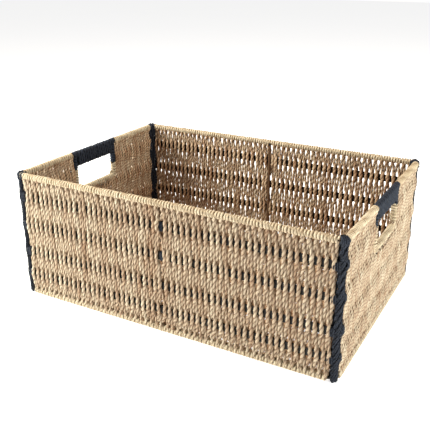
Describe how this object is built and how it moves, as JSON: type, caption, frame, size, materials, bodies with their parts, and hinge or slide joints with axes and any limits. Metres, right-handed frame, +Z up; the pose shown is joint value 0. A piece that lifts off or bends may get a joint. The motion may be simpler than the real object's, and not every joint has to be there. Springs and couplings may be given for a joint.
{
  "type": "storage basket",
  "caption": "Rectangular open-top storage basket of seagrass cord woven on welded wire panels, laced at the corners, with a wrapped hand grip in each short end.",
  "frame": {"origin": "bottom centre of the basket, on the surface it stands on", "axes": "+X along the length towards the right end, +Y along the width towards the back, +Z up"},
  "size_m": [0.4, 0.28, 0.155],
  "materials": {
    "black_steel": "satin black coating",
    "seagrass_weave": "matte twisted natural cord",
    "seagrass_binding": "matte twisted natural cord",
    "navy_cord": "matte dyed twisted cord",
    "paper_sleeve": "matte brown paper"
  },
  "bodies": {
    "root": {"front_frame_wire": "black_steel", "right_frame_wire": "black_steel", "back_frame_wire": "black_steel", "left_frame_wire": "black_steel", "base_frame_wire": "black_steel", "front_strip_1": "black_steel", "front_strip_2": "black_steel", "front_strip_3": "black_steel", "front_strip_4": "black_steel", "back_strip_1": "black_steel", "back_strip_2": "black_steel", "back_strip_3": "black_steel", "back_strip_4": "black_steel", "right_strip_1_front": "black_steel", "right_strip_1_rear": "black_steel", "right_strip_2": "black_steel", "right_strip_3": "black_steel", "right_strip_4": "black_steel", "left_strip_1_front": "black_steel", "left_strip_1_rear": "black_steel", "left_strip_2": "black_steel", "left_strip_3": "black_steel", "left_strip_4": "black_steel", "base_strip_1": "black_steel", "base_strip_2": "black_steel", "base_strip_3": "black_steel", "base_strip_4": "black_steel", "base_strip_5": "black_steel", "base_strip_6": "black_steel", "front_centre_upright": "black_steel", "back_centre_upright": "black_steel", "right_grip_wire": "black_steel", "left_grip_wire": "black_steel", "right_opening_wire": "black_steel", "left_opening_wire": "black_steel", "front_weave": "seagrass_weave", "right_weave": "seagrass_weave", "back_weave": "seagrass_weave", "left_weave": "seagrass_weave", "base_weave": "seagrass_weave", "front_rim_binding": "seagrass_binding", "right_rim_binding": "seagrass_binding", "back_rim_binding": "seagrass_binding", "left_rim_binding": "seagrass_binding", "front_base_binding": "seagrass_binding", "right_base_binding": "seagrass_binding", "back_base_binding": "seagrass_binding", "left_base_binding": "seagrass_binding", "right_opening_wrap": "seagrass_binding", "left_opening_wrap": "seagrass_binding", "right_handle_wrap": "navy_cord", "left_handle_wrap": "navy_cord", "front_left_lacing": "navy_cord", "front_right_lacing": "navy_cord", "back_right_lacing": "navy_cord", "back_left_lacing": "navy_cord", "front_centre_ties": "navy_cord", "back_centre_ties": "navy_cord", "front_upright_sleeve": "paper_sleeve", "back_upright_sleeve": "paper_sleeve"}
  },
  "joints": []
}
